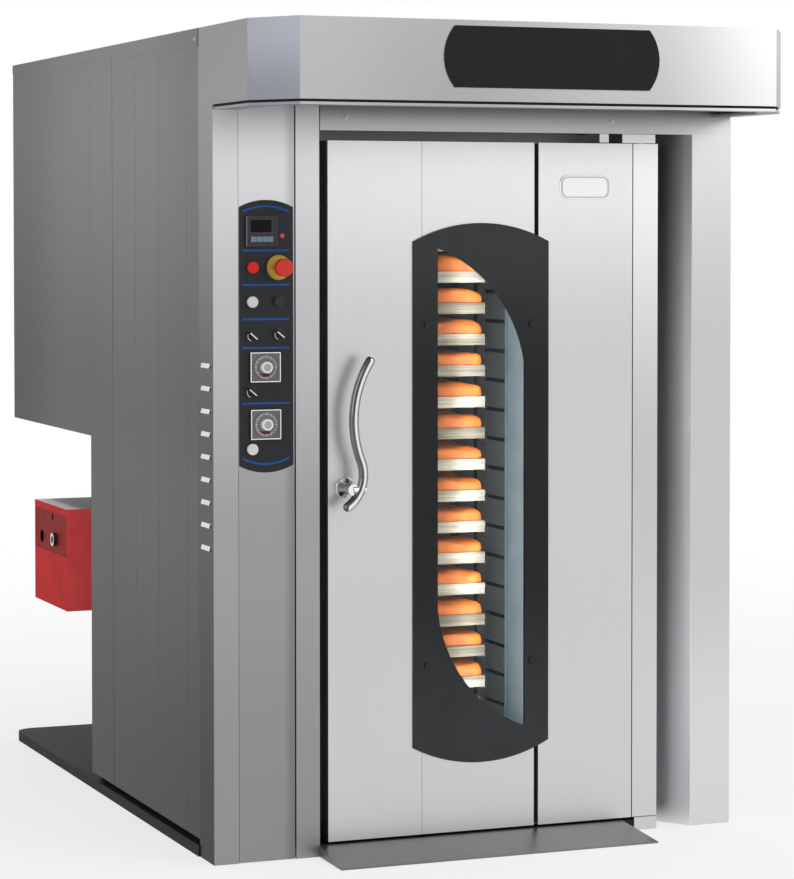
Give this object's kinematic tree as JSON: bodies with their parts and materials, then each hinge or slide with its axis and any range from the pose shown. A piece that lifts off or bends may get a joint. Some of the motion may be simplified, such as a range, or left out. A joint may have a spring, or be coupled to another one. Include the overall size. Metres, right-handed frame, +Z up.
{
  "type": "rotating rack oven",
  "caption": "Tall steel bakery oven with a front hood, glazed right-hinged door, left control column, turning rack of trays inside and a burner at the rear left.",
  "frame": {"origin": "on the floor under the middle of the whole, hood included", "axes": "+X to the oven's right as seen from the front, +Y to the rear, +Z up"},
  "size_m": [1.543, 2.528, 2.27],
  "materials": {
    "base_plate": "satin paint",
    "stainless": "brushed",
    "sign_plate": "gloss",
    "mineral_wool": "mineral wool",
    "steam_generator": "cast",
    "door_gasket": "matt",
    "gearmotor": "paint",
    "fan_motor": "paint",
    "heat_exchanger": "heat-tinted",
    "flue_pipe": "satin",
    "burner_housing": "gloss paint",
    "burner_flange": "paint",
    "hinge_brackets": "bright",
    "control_plate": "gloss",
    "temperature_controller": "matt",
    "timer_bodies": "matt",
    "indicator_lamp": "translucent",
    "estop_base": "gloss",
    "window_panel": "black enamel",
    "window_glass": "tinted",
    "window_screws": "polished",
    "handle_rosette": "polished",
    "handle_lever": "satin chrome",
    "latch_bolt": "machined",
    "rack_trays": "worn",
    "gear_steel": "machined",
    "circulation_fan": "welded",
    "flue_damper": "satin",
    "burner_reset_button": "clear cap",
    "estop_button": "gloss",
    "white_button": "gloss",
    "stop_button": "gloss",
    "grey_knob": "matt",
    "black_knob": "matt"
  },
  "bodies": {
    "cabinet": {"base_plate": "base_plate", "threshold_ramp": "stainless", "corner_post_left": "stainless", "corner_post_right": "stainless", "control_cabinet_panel": "stainless", "left_jamb_strip": "stainless", "right_door_jamb": "stainless", "header_sheet": "stainless", "side_panels": "stainless", "rear_casing_panels": "stainless", "roof_panel": "stainless", "canopy_shell": "stainless", "sign_plate": "sign_plate", "chamber_liner": "stainless", "air_ducts": "stainless", "insulation_slabs": "mineral_wool", "steam_generator": "steam_generator", "door_gasket": "door_gasket", "gearmotor": "gearmotor", "fan_motor": "fan_motor", "heat_exchanger": "heat_exchanger", "flue_pipe": "flue_pipe", "burner_housing": "burner_housing", "burner_flange": "burner_flange", "hinge_brackets": "hinge_brackets", "control_plate": "control_plate", "temperature_controller": "temperature_controller", "timer_bodies": "timer_bodies", "indicator_lamp": "indicator_lamp", "estop_base": "estop_base"},
    "door": {"door_skin_left": "stainless", "door_skin_middle": "stainless", "door_skin_right": "stainless", "door_core": "mineral_wool", "door_inner_liner": "stainless", "window_panel": "window_panel", "window_glass": "window_glass", "window_screws": "window_screws", "hinge_stile": "stainless", "handle_rosette": "handle_rosette"},
    "turntable": {"turntable_platform": "stainless", "rack_frame": "stainless", "rack_runners": "stainless", "rack_trays": "rack_trays", "drive_shaft": "gear_steel"},
    "handle_lever": {"handle_lever": "handle_lever"},
    "latch_bolt": {"latch_bolt": "latch_bolt"},
    "drive_pinion": {"drive_pinion": "gear_steel"},
    "circulation_fan": {"circulation_fan": "circulation_fan"},
    "flue_damper": {"flue_damper": "flue_damper"},
    "burner_reset_button": {"burner_reset_button": "burner_reset_button"},
    "estop_button": {"estop_button": "estop_button"},
    "start_button": {"start_button": "white_button"},
    "stop_button": {"stop_button": "stop_button"},
    "steam_button": {"steam_button": "white_button"},
    "timer_knob_1": {"timer_knob_1": "grey_knob"},
    "timer_knob_2": {"timer_knob_2": "grey_knob"},
    "selector_knob_1": {"selector_knob_1": "black_knob"},
    "selector_knob_2": {"selector_knob_2": "black_knob"},
    "selector_knob_3": {"selector_knob_3": "black_knob"}
  },
  "joints": [
    {"name": "door_swing", "type": "hinge", "parent": "cabinet", "child": "door", "pos_m": [0.4945, -0.811, 1], "axis": [0, 0, 1], "range_deg": [0, 135]},
    {"name": "handle_turn", "type": "hinge", "parent": "door", "child": "handle_lever", "pos_m": [-0.397, -0.836, 0.99], "axis": [0, 1, 0], "range_deg": [0, 45]},
    {"name": "latch_slide", "type": "slide", "parent": "door", "child": "latch_bolt", "axis": [-1, 0, 0], "range_m": [0, 0.034]},
    {"name": "turntable_spin", "type": "hinge", "parent": "cabinet", "child": "turntable", "pos_m": [-0.0445, -0.206, 0.03], "axis": [0, 0, 1], "continuous": true},
    {"name": "pinion_spin", "type": "hinge", "parent": "cabinet", "child": "drive_pinion", "pos_m": [0.148, -0.206, 1.985], "axis": [0, 0, 1], "continuous": true},
    {"name": "fan_spin", "type": "hinge", "parent": "cabinet", "child": "circulation_fan", "pos_m": [-0.2075, 0.804, 1.915], "axis": [0, 0, 1], "continuous": true},
    {"name": "damper_turn", "type": "hinge", "parent": "cabinet", "child": "flue_damper", "pos_m": [0.4125, 0.85, 2.09], "axis": [1, 0, 0], "range_deg": [0, 90]},
    {"name": "estop_press", "type": "slide", "parent": "cabinet", "child": "estop_button", "axis": [0, 1, 0], "range_m": [0, 0.006], "stiffness_N_per_m": 1500, "springref_m": -0.0018},
    {"name": "start_press", "type": "slide", "parent": "cabinet", "child": "start_button", "axis": [0, 1, 0], "range_m": [0, 0.0035], "stiffness_N_per_m": 800, "springref_m": -0.00105},
    {"name": "stop_press", "type": "slide", "parent": "cabinet", "child": "stop_button", "axis": [0, 1, 0], "range_m": [0, 0.0035], "stiffness_N_per_m": 800, "springref_m": -0.00105},
    {"name": "steam_press", "type": "slide", "parent": "cabinet", "child": "steam_button", "axis": [0, 1, 0], "range_m": [0, 0.0035], "stiffness_N_per_m": 800, "springref_m": -0.00105},
    {"name": "burner_reset_press", "type": "slide", "parent": "cabinet", "child": "burner_reset_button", "axis": [1, 0, 0], "range_m": [0, 0.003], "stiffness_N_per_m": 600, "springref_m": -0.0009},
    {"name": "selector_1_turn", "type": "hinge", "parent": "cabinet", "child": "selector_knob_1", "pos_m": [-0.6615, -0.836, 1.402], "axis": [0, 1, 0], "range_deg": [0, 90]},
    {"name": "selector_2_turn", "type": "hinge", "parent": "cabinet", "child": "selector_knob_2", "pos_m": [-0.5855, -0.836, 1.405], "axis": [0, 1, 0], "range_deg": [0, 90]},
    {"name": "selector_3_turn", "type": "hinge", "parent": "cabinet", "child": "selector_knob_3", "pos_m": [-0.6635, -0.836, 1.253], "axis": [0, 1, 0], "range_deg": [0, 90]},
    {"name": "timer_1_turn", "type": "hinge", "parent": "cabinet", "child": "timer_knob_1", "pos_m": [-0.625, -0.836, 1.319], "axis": [0, 1, 0], "range_deg": [0, 300]},
    {"name": "timer_2_turn", "type": "hinge", "parent": "cabinet", "child": "timer_knob_2", "pos_m": [-0.624, -0.836, 1.167], "axis": [0, 1, 0], "range_deg": [0, 300]}
  ],
  "couplings": [
    {"joint": "latch_slide", "follows": "handle_turn", "m_per_rad": 0.043289},
    {"joint": "pinion_spin", "follows": "turntable_spin", "ratio": -5}
  ]
}
